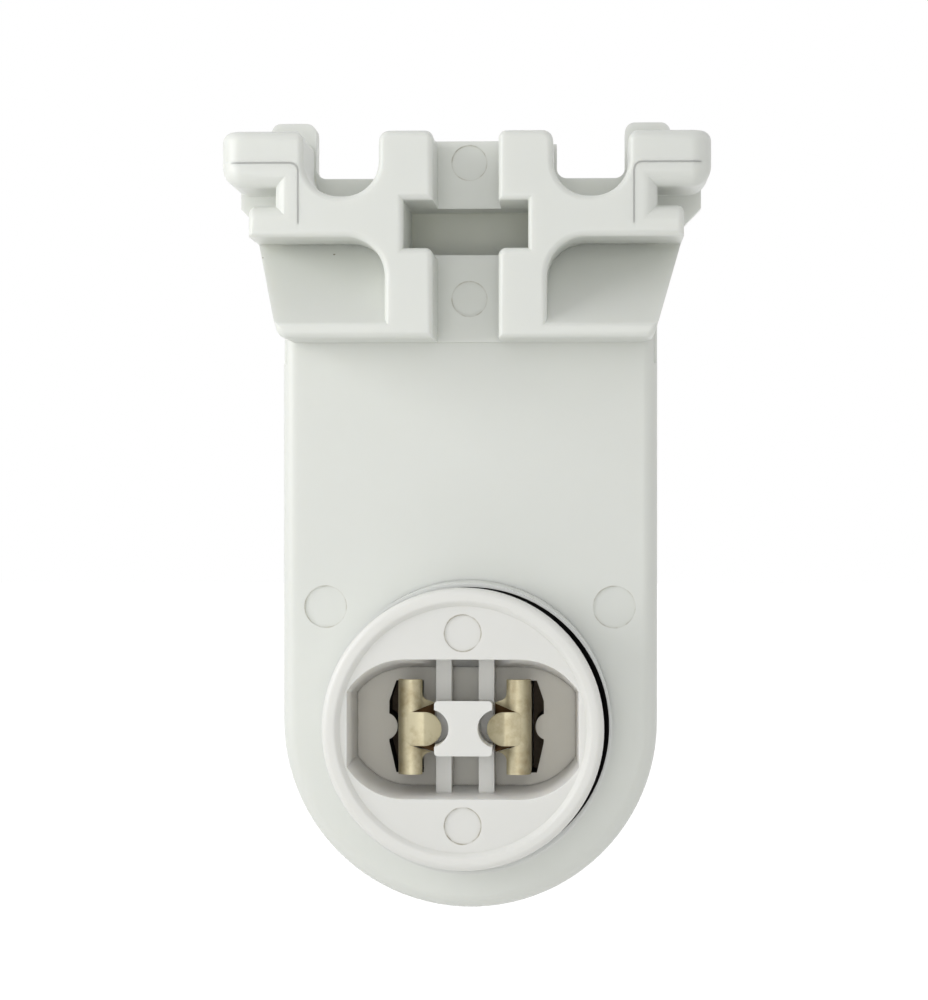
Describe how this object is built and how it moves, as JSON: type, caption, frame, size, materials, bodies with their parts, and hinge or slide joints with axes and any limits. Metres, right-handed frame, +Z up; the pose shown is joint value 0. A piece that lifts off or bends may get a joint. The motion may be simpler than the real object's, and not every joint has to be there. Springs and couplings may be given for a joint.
{
  "type": "fluorescent lamp holder",
  "caption": "White moulded lamp holder with a round spring plunger socket for recessed double contact fluorescent tubes and a slide-on foot.",
  "frame": {"origin": "on the lamp axis, at the flat back face", "axes": "+Z up to the foot that slides onto the fixture, +Y out of the back face, so the turret faces -Y, +X to the right seen from the front"},
  "size_m": [0.0374, 0.0285, 0.0622],
  "materials": {
    "shell_plastic": "moulded, satin gloss",
    "cover_plastic": "moulded, satin gloss",
    "sleeve_plastic": "moulded, satin gloss",
    "insert_plastic": "moulded, gloss",
    "block_plastic": "moulded, matte",
    "fibre_plate": "pressed fibre",
    "spring_steel": "drawn wire",
    "screw_steel": "zinc plated",
    "contact_metal": "tinned, slightly worn"
  },
  "bodies": {
    "holder": {"front_housing": "shell_plastic", "back_cover": "cover_plastic", "cover_screws": "screw_steel", "left_terminal": "contact_metal", "right_terminal": "contact_metal", "left_strap": "contact_metal", "right_strap": "contact_metal", "plunger_spring": "spring_steel"},
    "plunger": {"plunger_sleeve": "sleeve_plastic", "socket_insert": "insert_plastic", "contact_block": "block_plastic", "backing_plate": "fibre_plate", "insert_screws": "screw_steel", "left_contact": "contact_metal", "right_contact": "contact_metal"}
  },
  "joints": [
    {"name": "plunger_slide", "type": "slide", "parent": "holder", "child": "plunger", "axis": [0, 1, 0], "range_m": [0, 0.008], "stiffness_N_per_m": 900, "springref_m": -0.008, "deforming": ["plunger_spring", "left_strap", "right_strap"]}
  ]
}
